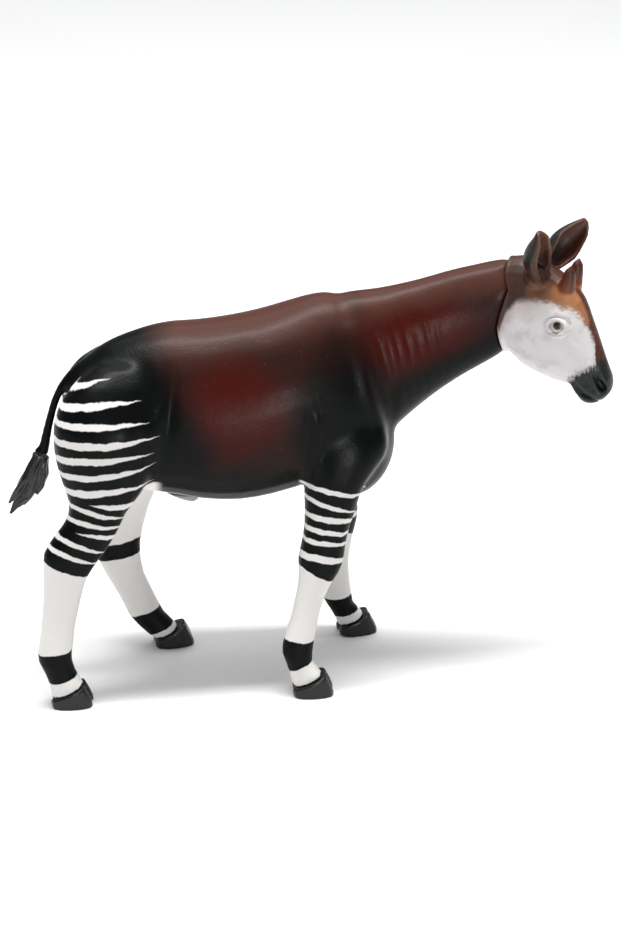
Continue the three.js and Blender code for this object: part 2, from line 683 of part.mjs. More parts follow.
for ( const [ corner, space ] of Object.entries( LEG_SPACES ) ) {

	const whole = largest( trunk.intersect( legSpace( ...space ) ) );
	const room = legSpace( ...space, GAP );
	const [ , ...belly ] = trunk.intersect( room ).decompose().sort( ( a, b ) => b.volume() - a.volume() );
	trunk = join( [ trunk.subtract( room ), ...belly ] ); // only the leg leaves the trunk
	const sole = SOLES[ corner ];
	const { point, normal } = coronet( sole );
	const joint = corner.startsWith( 'front' ) ? KNEE_CUT : HOCK_CUT;
	const shank = part( whole, point, normal, { reach: 20, wide: 26 } ).root;
	const halves = part( shank, vec( sole.x, sole.y, joint ), DOWN, { reach: 60, wide: 120 } );
	pieces[ `${ corner }_upper_leg` ] = [ halves.root, PAINT.black ];
	pieces[ `${ corner }_lower_leg` ] = [ halves.tip, PAINT.white ];
	pieces[ `${ corner }_hoof` ] = [ hoof( sole, space[ 0 ] ), PAINT.hoof ];

}

Object.assign( pieces, {
	torso: [ trunk, PAINT.oxblood ],
	neck: [ neckParts.tip, PAINT.oxblood ],
	head: [ head, PAINT.white ],
	eye_right: [ eyeBall( RIGHT ), PAINT.eye ],
	eye_left: [ eyeBall( LEFT ), PAINT.eye ],
	ear_right: [ ears.right.tip, PAINT.brown ],
	ear_left: [ ears.left.tip, PAINT.brown ],
	ossicone_right: [ ossicones.right.tip, PAINT.brown ],
	ossicone_left: [ ossicones.left.tip, PAINT.brown ],
	tail: [ tuftParts.root, PAINT.black ],
	tail_tuft: [ tuftParts.tip, PAINT.hoof ],
	sheath: [ sheathParts.tip, PAINT.white ],
} );

// The figurine, with its origin under the middle of its bounding box

const figurine = new THREE.Group();

for ( const [ name, [ solid, paint ] ] of Object.entries( pieces ) ) {

	const mesh = new THREE.Mesh( geometryOf( solid ), new THREE.MeshStandardMaterial( { ...paint, metalness: 0 } ) );
	mesh.name = name;
	figurine.add( mesh );

}

const bounds = new THREE.Box3().setFromObject( figurine );
const centre = bounds.getCenter( vec() );
figurine.position.set( - centre.x, - centre.y, - bounds.min.z );

export default figurine;
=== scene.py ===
import math

import bpy
import numpy as np
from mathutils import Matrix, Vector


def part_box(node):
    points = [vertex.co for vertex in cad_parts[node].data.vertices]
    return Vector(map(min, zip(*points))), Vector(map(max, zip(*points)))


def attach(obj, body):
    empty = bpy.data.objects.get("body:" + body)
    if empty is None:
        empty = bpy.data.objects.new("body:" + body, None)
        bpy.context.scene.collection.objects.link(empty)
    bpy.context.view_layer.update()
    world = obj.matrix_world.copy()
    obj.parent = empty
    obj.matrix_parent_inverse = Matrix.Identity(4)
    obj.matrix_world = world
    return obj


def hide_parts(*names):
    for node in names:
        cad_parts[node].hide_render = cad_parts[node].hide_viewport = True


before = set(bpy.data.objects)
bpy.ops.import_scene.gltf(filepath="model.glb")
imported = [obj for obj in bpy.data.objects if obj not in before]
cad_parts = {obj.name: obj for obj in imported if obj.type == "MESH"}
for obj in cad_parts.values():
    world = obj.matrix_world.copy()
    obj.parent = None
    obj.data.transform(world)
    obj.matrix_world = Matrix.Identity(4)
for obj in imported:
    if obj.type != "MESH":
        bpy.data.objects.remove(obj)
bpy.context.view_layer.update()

# Camera. The photo looks at the figurine's right side from a little behind and above, with a
# long lens from just over half a metre. Millimetres here are the figurine's own, whose zero
# lies between the feet; the eye on its right fixes where that zero is in the frame.
MM = 0.001
HEAD_YAW = math.radians(-29)
HEAD_SPOT = Vector((50, -5, 0))
FORWARD = Vector((math.cos(HEAD_YAW), math.sin(HEAD_YAW), 0))
LEFTWARD = Vector((-math.sin(HEAD_YAW), math.cos(HEAD_YAW), 0))
EYE_FORWARD = 9.8
EYE_OUT = 5.0
EYE_UP = 90.8


def in_head(forward, out, up):
    """A place given in the head's own axes: ahead, out to the left, and up."""
    spot = HEAD_SPOT + FORWARD * forward + LEFTWARD * out
    return Vector((spot.x, spot.y, up))


low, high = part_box("eye_right")
ZERO = (low + high) / 2 - in_head(EYE_FORWARD, -EYE_OUT, EYE_UP) * MM
ZERO.z = 0


def place(x, y, z):
    """A place in the figurine's millimetres, in the frame's metres."""
    return ZERO + Vector((x, y, z)) * MM


VIEW_AZIMUTH = math.radians(-7)
VIEW_RISE = math.radians(22)
VIEW_DISTANCE = 560
PIXELS_PER_MM = 4.15
FRAME_HEIGHT = 931
AIM_HEIGHT = 52.75
SENSOR = 36

back = Vector((math.sin(VIEW_AZIMUTH) * math.cos(VIEW_RISE),
               -math.cos(VIEW_AZIMUTH) * math.cos(VIEW_RISE), math.sin(VIEW_RISE)))
bpy.ops.object.camera_add(location=place(0, 0, AIM_HEIGHT) + back * VIEW_DISTANCE * MM)
camera = bpy.context.object
camera.rotation_euler = back.to_track_quat("Z", "Y").to_euler()
camera.data.sensor_width = SENSOR
camera.data.lens = PIXELS_PER_MM * VIEW_DISTANCE * SENSOR / FRAME_HEIGHT
camera.data.clip_start = 0.01
bpy.context.scene.camera = camera

# Studio light: a strip softbox overhead draws the long highlight along the back, and a broad
# bank high behind it whitens the table, which lights the sides. A low window beside the
# camera is seen only in the gloss of the paint.


def softbox(name, spot, aim, size, radiance, gloss_only=False):
    bpy.ops.object.light_add(type="AREA", location=place(*spot))
    light = bpy.context.object
    light.name = name
    light.data.shape = "RECTANGLE"
    light.data.size = size[0] * MM
    light.data.size_y = size[1] * MM
    light.data.energy = radiance * math.pi * light.data.size * light.data.size_y
    light.rotation_euler = (place(*spot) - place(*aim)).to_track_quat("Z", "Y").to_euler()
    light.visible_diffuse = not gloss_only


softbox("overhead_strip", (0, -60, 900), (0, 0, 80), (720, 100), 38)
softbox("ceiling_bank", (0, 700, 2500), (0, 500, 0), (3000, 3000), 1.9)
softbox("front_fill", (-250, -800, 420), (0, 0, 60), (300, 200), 1.6)
softbox("window_glint", (130, -900, 120), (-12, 0, 72), (80, 150), 55, gloss_only=True)

world = bpy.data.worlds.new("studio")
bpy.context.scene.world = world
world.use_nodes = True
sky = world.node_tree.nodes["Background"]
sky.inputs["Color"].default_value = (0.96, 0.98, 1, 1)
sky.inputs["Strength"].default_value = 0.28
bpy.context.scene.view_settings.view_transform = "Standard"

# Floor, the plain white surface that the figurine stands on: one wide matt sheet, laid just
# under the soles.
FLOOR_WIDTH = 8
FLOOR_DROP = 0.00005
bpy.ops.mesh.primitive_plane_add(size=FLOOR_WIDTH, location=(ZERO.x, ZERO.y, -FLOOR_DROP))
floor = bpy.context.object
floor.name = "floor"
white = bpy.data.materials.new("floor_white")
white.use_nodes = True
sheet = white.node_tree.nodes["Principled BSDF"].inputs
sheet["Base Color"].default_value = (0.86, 0.86, 0.86, 1)
sheet["Roughness"].default_value = 0.7
floor.data.materials.append(white)

# Body casting. The real body is one piece of moulded vinyl from the neck to the hooves, so the
# solids of its regions are swollen until they touch, fused on a fine grid and drawn back in.
BODY_NODES = ["torso", "neck", "tail", "sheath"] + [
    f"{end}_{side}_{part}_leg" for end in ("front", "hind") for side in ("right", "left")
    for part in ("upper", "lower")]
FUSE = 0.22
BODY_GRID = 0.5


def select_only(*objects):
    bpy.ops.object.select_all(action="DESELECT")
    for chosen in objects:
        chosen.select_set(True)
    bpy.context.view_layer.objects.active = objects[0]


def apply_all(piece):
    select_only(piece)
    for modifier in list(piece.modifiers):
        bpy.ops.object.modifier_apply(modifier=modifier.name)


def points_of(piece):
    """The piece's vertices in the figurine's millimetres."""
    values = np.empty(len(piece.data.vertices) * 3)
    piece.data.vertices.foreach_get("co", values)
    return (values.reshape(-1, 3) - np.array(ZERO)) / MM


def normals_of(piece):
    values = np.empty(len(piece.data.vertices) * 3)
    piece.data.vertex_normals.foreach_get("vector", values)
    return values.reshape(-1, 3)


def set_points(piece, points):
    piece.data.vertices.foreach_set("co", (points * MM + np.array(ZERO)).ravel())
    piece.data.update()


def fused(name, nodes, grid, fuse=FUSE):
    """One closed skin over copies of several CAD nodes."""
    copies = []
    for node in nodes:
        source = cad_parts[node]
        copy = bpy.data.objects.new(f"{name}_{node}", source.data.copy())
        bpy.context.collection.objects.link(copy)
        copy.data.materials.clear()
        copies.append(copy)
    select_only(*copies)
    bpy.ops.object.join()
    skin = bpy.context.object
    skin.name = name
    bpy.ops.object.mode_set(mode="EDIT")
    bpy.ops.mesh.select_all(action="SELECT")
    bpy.ops.mesh.remove_doubles(threshold=1e-6)
    bpy.ops.object.mode_set(mode="OBJECT")
    swell = skin.modifiers.new("swell", "DISPLACE")
    swell.strength = fuse * MM
    swell.mid_level = 0
    remesh = skin.modifiers.new("fuse", "REMESH")
    remesh.mode = "VOXEL"
    remesh.voxel_size = grid * MM
    remesh.use_smooth_shade = True
    apply_all(skin)
    return skin


def soften(piece, passes, weights=None):
    """Smooth a piece, all over or by a weight for each vertex."""
    if weights is not None:
        group = piece.vertex_groups.new(name="soften")
        levels = weights.round(1)
        for level in np.unique(levels[levels > 0]):
            group.add(np.flatnonzero(levels == level).tolist(), float(level), "REPLACE")
    smooth = piece.modifiers.new("soften", "SMOOTH")
    smooth.factor = 0.5
    smooth.iterations = passes
    if weights is not None:
        smooth.vertex_group = "soften"
    apply_all(piece)


def ease(values, start, end):
    """0 at start and 1 at end, with a soft step between."""
    t = np.clip((values - start) / (end - start), 0, 1)
    return t * t * (3 - 2 * t)


body = fused("body_casting", BODY_NODES, BODY_GRID)
x, _, z = points_of(body).T
broad = ease(z, 50, 62) * ease(x, -66, -60)
chest = ease(x, 6, 12) * ease(z, 47, 52)
soften(body, 70, np.maximum(broad, chest))
soften(body, 8)
set_points(body, points_of(body) - normals_of(body) * FUSE * 0.8)


def distance_to(points, path):
    """Distance from each point to a line of points, and how far along it the nearest lies."""
    best = np.full(len(points), np.inf)
    along = np.zeros(len(points))
    path = np.array(path, float)
    for i, (a, b) in enumerate(zip(path[:-1], path[1:])):
        t = np.clip((points - a) @ (b - a) / ((b - a) @ (b - a)), 0, 1)
        gap = np.linalg.norm(points - a - t[:, None] * (b - a), axis=1)
        nearer = gap < best
        best[nearer] = gap[nearer]
        along[nearer] = (i + t[nearer]) / (len(path) - 1)
    return best, along


def stroke(spots, path, width, height):
    """A raised (or, below zero, pressed-in) line in side view, on both sides of the body."""
    gap, along = distance_to(spots[:, [0, 2]], path)
    fade = np.sin(np.pi * np.clip(along * 0.9 + 0.05, 0, 1)) ** 0.5
    return height * np.exp(-(gap / width) ** 2) * fade * ease(np.abs(spots[:, 1]), 2.5, 5)


def mound(spots, middle, radii, height):
    """A low swelling in side view, on both sides of the body."""
    gap = (((spots[:, [0, 2]] - middle) / radii) ** 2).sum(1)
    return height * np.exp(-gap) * ease(np.abs(spots[:, 1]), 2.5, 6)


# The path of each line in x and z, then its width and height
BODY_LINES = [
    ([(8.4, 89), (10.6, 82), (12.2, 75), (14.6, 67), (16.4, 59)], 1.9, 1.15),  # shoulder ridge
    ([(13, 92), (15.6, 85), (17.6, 77), (19, 68)], 1.0, -0.5),  # fold in front of it
    ([(-2.4, 72), (-2.0, 66), (-1.8, 58), (-2.5, 52)], 0.8, -0.5),  # fold behind the elbow
    ([(-0.6, 71), (-0.2, 66), (0, 58)], 0.8, 0.45),  # edge of the upper foreleg
    ([(-33.2, 82), (-34.2, 75), (-35.6, 66), (-37.4, 58)], 1.5, -0.7),  # fold of the flank
    ([(-36.5, 82), (-37.8, 74), (-39.2, 66), (-41, 58)], 2.4, 0.7),  # front edge of the thigh
]
# The top and foot of each crease down the side of the neck
NECK_CREASES = [(92, 74), (90, 70), (93, 72), (88, 73), (94, 78), (90, 76)]
FIRST_CREASE = 15
CREASE_STEP = 2.6
CREASE_SLANT = 0.22
CREASE_TOP = 93

spots = points_of(body)
lift = np.zeros(len(spots))
for line in BODY_LINES:
    lift += stroke(spots, *line)
lift += mound(spots, (-50, 66), (8, 10), 0.6)  # muscle of the thigh
for i, (top, foot) in enumerate(NECK_CREASES):
    heights = np.linspace(top, foot, 5)
    crease = [(FIRST_CREASE + i * CREASE_STEP + (CREASE_TOP - z) * CREASE_SLANT, z) for z in heights]
    lift += stroke(spots, crease, 0.45, -0.16)
set_points(body, spots + normals_of(body) * lift[:, None])

# The joint of neck and head: where it lies along the head's forward axis and, seen from the
# side, how far ahead of a straight cut it runs at each height
HEAD_JOINT = -3.9
JOINT_HEIGHTS = (82, 88.7, 92.2, 97.9, 101.4, 104)
JOINT_BEND = (0, -0.8, 0, 1.5, 0.2, 0)


def curve_joint(piece):
    """Bend the flat end of the neck or head into the joint's own curve, seen from the side."""
    spots = points_of(piece)
    ahead = (spots - np.array(HEAD_SPOT)) @ np.array(FORWARD)
    near = np.exp(-((ahead - HEAD_JOINT) / 2.6) ** 2) * ease(spots[:, 2], 72, 78)
    bend = np.interp(spots[:, 2], JOINT_HEIGHTS, JOINT_BEND)
    set_points(piece, spots + np.array(FORWARD) * (bend * near)[:, None])


spots = points_of(body)
ahead = (spots - np.array(HEAD_SPOT)) @ np.array(FORWARD)
neck_end = ease(ahead, -5.2, -4.3) * ease(spots[:, 2], 72, 76)
set_points(body, spots + np.array(FORWARD) * (0.3 * neck_end)[:, None])
curve_joint(body)
select_only(body)
bpy.ops.object.shade_smooth()
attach(body, "root")
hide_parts(*BODY_NODES)

# Body paint: dark vinyl airbrushed oxblood on the flanks and neck and dull brown along the
# back, fading to black at the rump, shoulders and belly. The leg rings are brushed by hand.


class Socket:
    """One value in a paint's nodes: sums on it add Math nodes."""

    def __init__(self, paint, link):
        self.paint, self.link = paint, link

    def maths(self, operation, other=0.0, swap=False):
        first, second = (other, self) if swap else (self, other)
        return self.paint.node("ShaderNodeMath", {"operation": operation}, {0: first, 1: second})

    def __add__(self, other):
        return self.maths("ADD", other)

    def __sub__(self, other):
        return self.maths("SUBTRACT", other)

    def __rsub__(self, other):
        return self.maths("SUBTRACT", other, swap=True)

    def __mul__(self, other):
        return self.maths("MULTIPLY", other)

    def __truediv__(self, other):
        return self.maths("DIVIDE", other)

    def __abs__(self):
        return self.maths("ABSOLUTE")

    __radd__ = __add__
    __rmul__ = __mul__

    def clip(self):
        return self.paint.node("ShaderNodeClamp", {}, {0: self})

    def most(self, other):
        return self.maths("MAXIMUM", other)

    def rise(self, start, end):
        """0 below start and 1 above end, with a soft step between (end may be the lower)."""
        if end < start:
            return 1 - self.rise(end, start)
        return self.paint.node("ShaderNodeMapRange", {"interpolation_type": "SMOOTHSTEP"},
                               {"Value": self, "From Min": start, "From Max": end})


class Paint:
    """A painted material, worked out from each place on the figurine in its millimetres."""

    def __init__(self, name):
        self.material = bpy.data.materials.new(name)
        self.material.use_nodes = True
        self.tree = self.material.node_tree
        metres = self.node("ShaderNodeTexCoord", {}, {}, "Object")
        from_zero = self.vector("SUBTRACT", metres, tuple(ZERO))
        self.spot = self.vector("SCALE", from_zero, scale=1 / MM)
        axes = self.node("ShaderNodeSeparateXYZ", {}, {0: self.spot}).link.node.outputs
        self.x, self.y, self.z = [Socket(self, axis) for axis in axes]

    def node(self, kind, settings, values, output=0):
        """A new node with its settings and inputs, which are sockets or plain values."""
        made = self.tree.nodes.new(kind)
        for key, value in settings.items():
            setattr(made, key, value)
        for key, value in values.items():
            if isinstance(value, Socket):
                self.tree.links.new(value.link, made.inputs[key])
            elif value is not None:
                made.inputs[key].default_value = value
        return Socket(self, made.outputs[output])

    def vector(self, operation, first, second=None, scale=None):
        values = {0: first, 1: second, "Scale": scale}
        return self.node("ShaderNodeVectorMath", {"operation": operation}, values)

    def noise(self, size, detail, seed=0.0, stretch=(1, 1, 1)):
        """Noise around zero, with lumps of about this many millimetres."""
        spot = self.vector("MULTIPLY", self.spot, stretch)
        return self.node("ShaderNodeTexNoise", {"noise_dimensions": "4D"},
                         {"Vector": spot, "W": seed, "Scale": 1 / size, "Detail": detail}) - 0.5

    def mix(self, mask, below, above):
        """The colour above where the mask is 1, over the colour below."""
        below, above = [c if isinstance(c, Socket) else (*c, 1) for c in (below, above)]
        return self.node("ShaderNodeMix", {"data_type": "RGBA"}, {0: mask, 6: below, 7: above}, 2)

    def finish(self, colour, roughness, bump=None, height=0.05, coat=0.0, shine=0.1):
        """Join the colour, the roughness and any bump, its height in millimetres, to the shader."""
        inputs = self.tree.nodes["Principled BSDF"].inputs
        self.tree.links.new(colour.link, inputs["Base Color"])
        self.tree.links.new(roughness.link, inputs["Roughness"])
        inputs["Specular IOR Level"].default_value = shine
        inputs["Coat Weight"].default_value = coat
        inputs["Coat Roughness"].default_value = 0.18
        if bump is not None:
            normal = self.node("ShaderNodeBump", {}, {"Height": bump, "Distance": height * MM})
            self.tree.links.new(normal.link, inputs["Normal"])
        return self.material


BLACK = (0.0013, 0.0019, 0.0021)
DARK_HIDE = (0.026, 0.0085, 0.0065)
OXBLOOD = (0.054, 0.0042, 0.0022)
BROWN_BACK = (0.078, 0.030, 0.022)
SPECKLE = (0.13, 0.075, 0.06)
LEG_WHITE = (0.80, 0.775, 0.75)
WORN_WHITE = (0.52, 0.46, 0.42)
SHEATH_GREY = (0.34, 0.34, 0.34)


def oval(x, z, middle, radii, soft):
    """1 inside an oval in side view, fading out over a soft edge."""
    dx = (x - middle[0]) / radii[0]
    dz = (z - middle[1]) / radii[1]
    return (dx * dx + dz * dz).rise(1 + soft, 1 - soft)


def line_height(x, start, end):
    """The height of a straight line in side view over or under each place."""
    slope = (end[1] - start[1]) / (end[0] - start[0])
    return x * slope + (start[1] - start[0] * slope)


def brushed_ring(x, z, start, tip, thick, bow, taper=1.0):
    """A stroke that is full where the brush lands and runs out where it lifts."""
    t = ((x - start[0]) / (tip[0] - start[0])).clip()
    middle = line_height(x, start, tip) + t * (1 - t) * (bow * 4)
    half = (1 - t * t * t * taper) * (0.8 + t * (1 - t) * 1.1) * (thick / 2)
    lifted = ((x - tip[0]) * (1 if tip[0] > start[0] else -1)).rise(0.4, -0.2)
    return (half - abs(z - middle)).rise(-0.14, 0.18) * lifted


def strongest(masks):
    """Where any of the masks is."""
    whole = masks[0]
    for mask in masks[1:]:
        whole = whole.most(mask)
    return whole


coat = Paint("body_paint")
x = coat.x + coat.noise(11, 3) * 5
z = coat.z + coat.noise(9, 3, 4) * 4
rump = (z - line_height(x, (-37, 90), (-25, 62))).rise(15, -13)
belly = (z - 58).rise(8, -5)
shoulder = oval(x, z, (6.5, 65), (12, 21), 0.75)
throat = (z - line_height(x, (14, 74), (44, 88.5))).rise(3.5, -3.5) * x.rise(5, 12)
black = strongest([rump, belly, shoulder, throat])
flank = oval(x, z, (-19.5, 73.5), (11, 10.5), 0.97)
neck_side = oval(x, z, (25, 87), (14, 8.5), 0.95)
crest = (z - line_height(x, (-40, 83), (10, 90))).rise(-3, 5) * x.rise(16, 8)
neck_crest = (z - line_height(x, (10, 91), (45, 97.5))).rise(-3, 3) * x.rise(6, 14)
hide = coat.mix(flank.most(neck_side), DARK_HIDE, OXBLOOD)
hide = coat.mix(crest.most(neck_crest) * 0.9, hide, BROWN_BACK)
hide = coat.mix(black, hide, BLACK)
speckle = coat.noise(0.7, 2, 11).rise(0.12, 0.3) * 0.25
hide = coat.mix(speckle * (1 - black), hide, SPECKLE)

# Each ring's start, where the brush lands, and its tip in x and z, then its width and its
# bow. The far legs stride differently, so their rings slide along with them.
THIGH_RINGS = [
    ((-61.5, 76.2), (-47.8, 81.2), 0.9, 0.5),
    ((-61.5, 74.4), (-41.0, 76.6), 1.5, 0.5),
    ((-61.5, 71.2), (-39.3, 71.8), 1.5, 0.3),
    ((-62, 67.2), (-37.0, 68.5), 1.8, -0.4),
    ((-62, 62.8), (-38.5, 64.6), 1.7, 0.1),
    ((-62, 58.9), (-38, 61.6), 1.7, -0.5),
    ((-61, 55.0), (-38.5, 56.4), 1.8, -0.2),
    ((-42.5, 51.0), (-53.7, 52.4), 1.6, 0.0),
    ((-60, 51.9), (-44, 47.2), 1.3, 0.3),
    ((-60, 48.4), (-44, 45.2), 1.2, 0.0),
    ((-45.5, 42.4), (-57, 45.4), 1.3, 0.0),
    ((-64, 44.6), (-49, 38.8), 1.3, 0.2),
    ((-66, 42.1), (-51, 36.0), 1.3, 0.2),
]
ARM_RINGS = [
    ((-4, 53.6), (12, 50.2), 1.2, 0.4),
    ((-5, 51.2), (9, 46.6), 1.1, 0.1),
    ((-5, 46.7), (10, 44.1), 1.5, 0.2),
    ((-5, 43.6), (9, 41.3), 1.3, -0.2),
    ((-5, 40.4), (8, 38.4), 1.2, 0.2),
    ((-6, 36.6), (8, 34.0), 1.8, 0.3),
]
left = coat.y.rise(-1, 1)
far_hind = left * (coat.z.rise(66, 40) * 8 + 5)
far_fore = left * (coat.z.rise(58, 34) * 8)
hind_x = coat.x - far_hind
fore_x = coat.x - far_fore
z = coat.z + coat.noise(3.2, 3, 9) * 1.2 + coat.noise(1.1, 2, 8) * 0.35
aside = abs(coat.y) - coat.z.rise(73, 79) * 2.4
thigh = strongest([brushed_ring(hind_x, z, *ring) for ring in THIGH_RINGS])
thigh = thigh * hind_x.rise(-30, -34) * aside.rise(2.2, 2.9)
arm = strongest([brushed_ring(fore_x, z, *ring, taper=0.45) for ring in ARM_RINGS])
arm = arm * (fore_x - coat.z.rise(46, 50) * 2.6).rise(-7, -6.2) * abs(coat.y).rise(5.5, 6.5)
hind_cannon = (z - line_height(hind_x, (-65, 37.3), (-53.9, 33.4))).rise(0.15, -0.15)
fore_cannon = (z - line_height(fore_x, (-4.7, 33.6), (2.8, 29.7))).rise(0.15, -0.15)
rear_half = coat.x.rise(-18, -22)
cannon = hind_cannon * rear_half + fore_cannon * (1 - rear_half)
inside_leg = (12.8 - abs(coat.y) + coat.z.rise(58, 22) * 1.2 + coat.noise(2, 2, 3)).rise(-0.3, 0.3)
below_groin = (z - line_height(coat.x, (-50, 54), (-36, 60))).rise(1, -2)
inner = inside_leg * below_groin * hind_x.rise(-36, -38.5)
white = strongest([thigh, arm, cannon, inner])
worn = coat.noise(1.6, 4, 21).rise(0.16, 0.34) * 0.16
leg_white = coat.mix(worn, LEG_WHITE, WORN_WHITE)
skin = coat.mix(white.clip(), hide, leg_white)
hock_band = (abs(z - line_height(coat.x, (-49.9, 26.9), (-41, 28.6))) - 2.1).rise(0.15, -0.15)
skin = coat.mix(hock_band * left * rear_half, skin, BLACK)
nub = (z - 47).rise(0.8, -0.6) * (abs(coat.x + 32) - 6).rise(0.5, -0.5) * abs(coat.y).rise(4.5, 3.5)
skin = coat.mix(nub, skin, SHEATH_GREY)

# Each foot has a black fetlock over a white coronet: its side, the x of its sole, then the
# height over that place and the slope of the fetlock's upper edge and of the coronet's
FEET = [
    (1 - left, -59.6, 14.8, 0.12, 7.8, 0.27),
    (1 - left, -1.5, 14.3, -0.08, 9.2, 0.45),
    (left, 13.8, 11.4, 0.12, 6.6, 0.3),
    (left, -33.2, 12.4, 0.37, 6.3, 0.5),
]
boots = []
for side, middle, fetlock, fetlock_slope, coronet, coronet_slope in FEET:
    ahead = coat.x - middle
    under = (z - ahead * fetlock_slope - fetlock).rise(0.15, -0.15)
    over = (z - ahead * coronet_slope - coronet).rise(-0.15, 0.15)
    boots.append(abs(ahead + 2).rise(12.2, 11.8) * under * over * side)
skin = coat.mix(strongest(boots), skin, BLACK)
painted = white.clip()
roughness = 0.33 + coat.noise(1.4, 2, 2) * 0.10 + painted * 0.14
relief = coat.noise(0.55, 2, 6) * 0.6 + painted * 0.7 + coat.noise(5, 2, 7) * 2
body.data.materials.append(coat.finish(skin, roughness, relief, 0.06))

# Head casting, moulded apart from the body and pressed onto the neck, which leaves a thin
# raised joint. Ears and horns are one piece with it. Lids, lips and nostrils are tooled in.
HEAD_NODES = ["head", "ear_right", "ear_left", "ossicone_right", "ossicone_left"]
HEAD_GRID = 0.24
head = fused("head_casting", HEAD_NODES, HEAD_GRID)
soften(head, 7)
set_points(head, points_of(head) - normals_of(head) * FUSE * 0.7)


def head_spots(piece):
    """The piece's vertices in the head's own axes: forward, out to the left, and up."""
    spots = points_of(piece) - np.array(HEAD_SPOT)
    return np.stack([spots @ np.array(FORWARD), spots @ np.array(LEFTWARD), spots[:, 2]], 1)


def face_stroke(spots, path, width, height):
    """A raised or pressed-in line on both cheeks, fading at its two ends."""
    gap, along = distance_to(spots[:, [0, 2]], path)
    fade = np.sin(np.pi * (along * 0.94 + 0.03)) ** 0.5
    return height * np.exp(-(gap / width) ** 2) * fade * ease(np.abs(spots[:, 1]), 0.8, 1.8)


# The path of each tooled line, forward and up, then its width and height
FACE_LINES = [
    ([(11.6, 90.2), (12.6, 89.7), (13.4, 89.4)], 0.35, -0.3),  # inner corner of the eye
    ([(6.5, 92.4), (9.5, 94.3), (12.6, 93.2)], 0.55, 0.32),  # brow
    ([(12.2, 89.4), (13.6, 88.2), (14.6, 86.6)], 0.5, -0.25),  # tear line
    ([(13.2, 77.6), (14.2, 75.4), (16.6, 73.5), (19.6, 72.4)], 0.42, -0.75),  # mouth
    ([(14.6, 78.0), (15.6, 76.2), (17.8, 74.8), (20.4, 74)], 0.7, 0.4),  # upper lip
    ([(12.4, 76.6), (14, 74), (16.4, 72.4)], 0.5, 0.3),  # lower lip
    ([(18.6, 79), (19.3, 77.6), (20.3, 76), (21.4, 75.2)], 0.6, -1.0),  # nostril
    ([(17.6, 79.2), (18.4, 77.4), (19.4, 75.6)], 0.6, 0.35),  # rear rim of the nostril
    ([(19.8, 80.2), (20.6, 78.4), (21.4, 77)], 0.6, 0.3),  # front rim of the nostril
    ([(1.5, 92), (0.5, 87), (3.0, 82.4), (7.0, 79.8)], 2.0, 0.4),  # edge of the jaw
    ([(5.0, 86.5), (9, 83.5), (13.2, 80.6)], 1.1, -0.22),  # hollow of the cheek
]

spots = head_spots(head)
below_brow = spots[:, 2] < 98
eye_gap = np.hypot((spots[:, 0] - EYE_FORWARD) / 2.2, (spots[:, 2] - EYE_UP - 0.2) / 1.65)
lids = 0.46 * np.exp(-((eye_gap - 1.0) / 0.16) ** 2)
socket_fold = 0.30 * np.exp(-((eye_gap - 1.33) / 0.11) ** 2)
socket_rim = 0.14 * np.exp(-((eye_gap - 1.6) / 0.14) ** 2)
lift = np.where(below_brow, lids - socket_fold + socket_rim, 0)
for line in FACE_LINES:
    lift += face_stroke(spots, *line)
lift += 0.2 * np.exp(-((spots[:, 0] - HEAD_JOINT - 0.3) / 0.3) ** 2)  # bead along the neck joint
set_points(head, points_of(head) + normals_of(head) * lift[:, None])
soften(head, 1)
spots = head_spots(head)
soften(head, 16, ease(spots[:, 2], 104, 106) * ease(np.abs(spots[:, 1]), 4.5, 6))
curve_joint(head)
select_only(head)
bpy.ops.object.shade_smooth()
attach(head, "root")
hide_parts(*HEAD_NODES)

# Face paint: a cool white cheek stippled out into brown, orange about the horns, and a
# black muzzle dry-brushed back over the white.
FACE_WHITE = (0.72, 0.68, 0.68)
DULL_WHITE = (0.47, 0.42, 0.43)
HAIR_GREY = (0.20, 0.20, 0.21)
NAPE_VEIL = (0.30, 0.20, 0.20)
CROWN_DARK = (0.045, 0.013, 0.008)
CROWN_LIGHT = (0.12, 0.042, 0.026)
TAN = (0.54, 0.22, 0.080)
DUSK = (0.028, 0.016, 0.012)
MUZZLE = (0.0085, 0.0105, 0.0115)
MUZZLE_DUST = (0.03, 0.034, 0.036)
HORN_FOOT = (0.17, 0.040, 0.012)
HORN_TIP = (0.060, 0.016, 0.008)
EAR_INSIDE = (0.125, 0.056, 0.030)
EAR_BACK = (0.012, 0.013, 0.014)
JOINT_BROWN = (0.13, 0.042, 0.022)
# The top of the white cheek, forward and up
CHEEK_EDGE = [(-4, 88.0), (-2.6, 92.4), (0, 95.6), (4.5, 96.4), (9, 95.9),
              (12, 95.0), (14.4, 93.0), (16.3, 90.0), (18.0, 86.0), (18.9, 80)]


def height_along(paint, distance, points, low, span):
    """The height of a given line over each place along it, read off a colour ramp."""
    start = points[0][0]
    reach = points[-1][0] - start
    line = paint.node("ShaderNodeValToRGB", {}, {0: (distance - start) / reach})
    stops = line.link.node.color_ramp.elements
    while len(stops) < len(points):
        stops.new(0.5)
    for stop, (along, height) in zip(stops, points):
        stop.position = (along - start) / reach
        stop.color = ((height - low) / span,) * 3 + (1,)
    return line * span + low


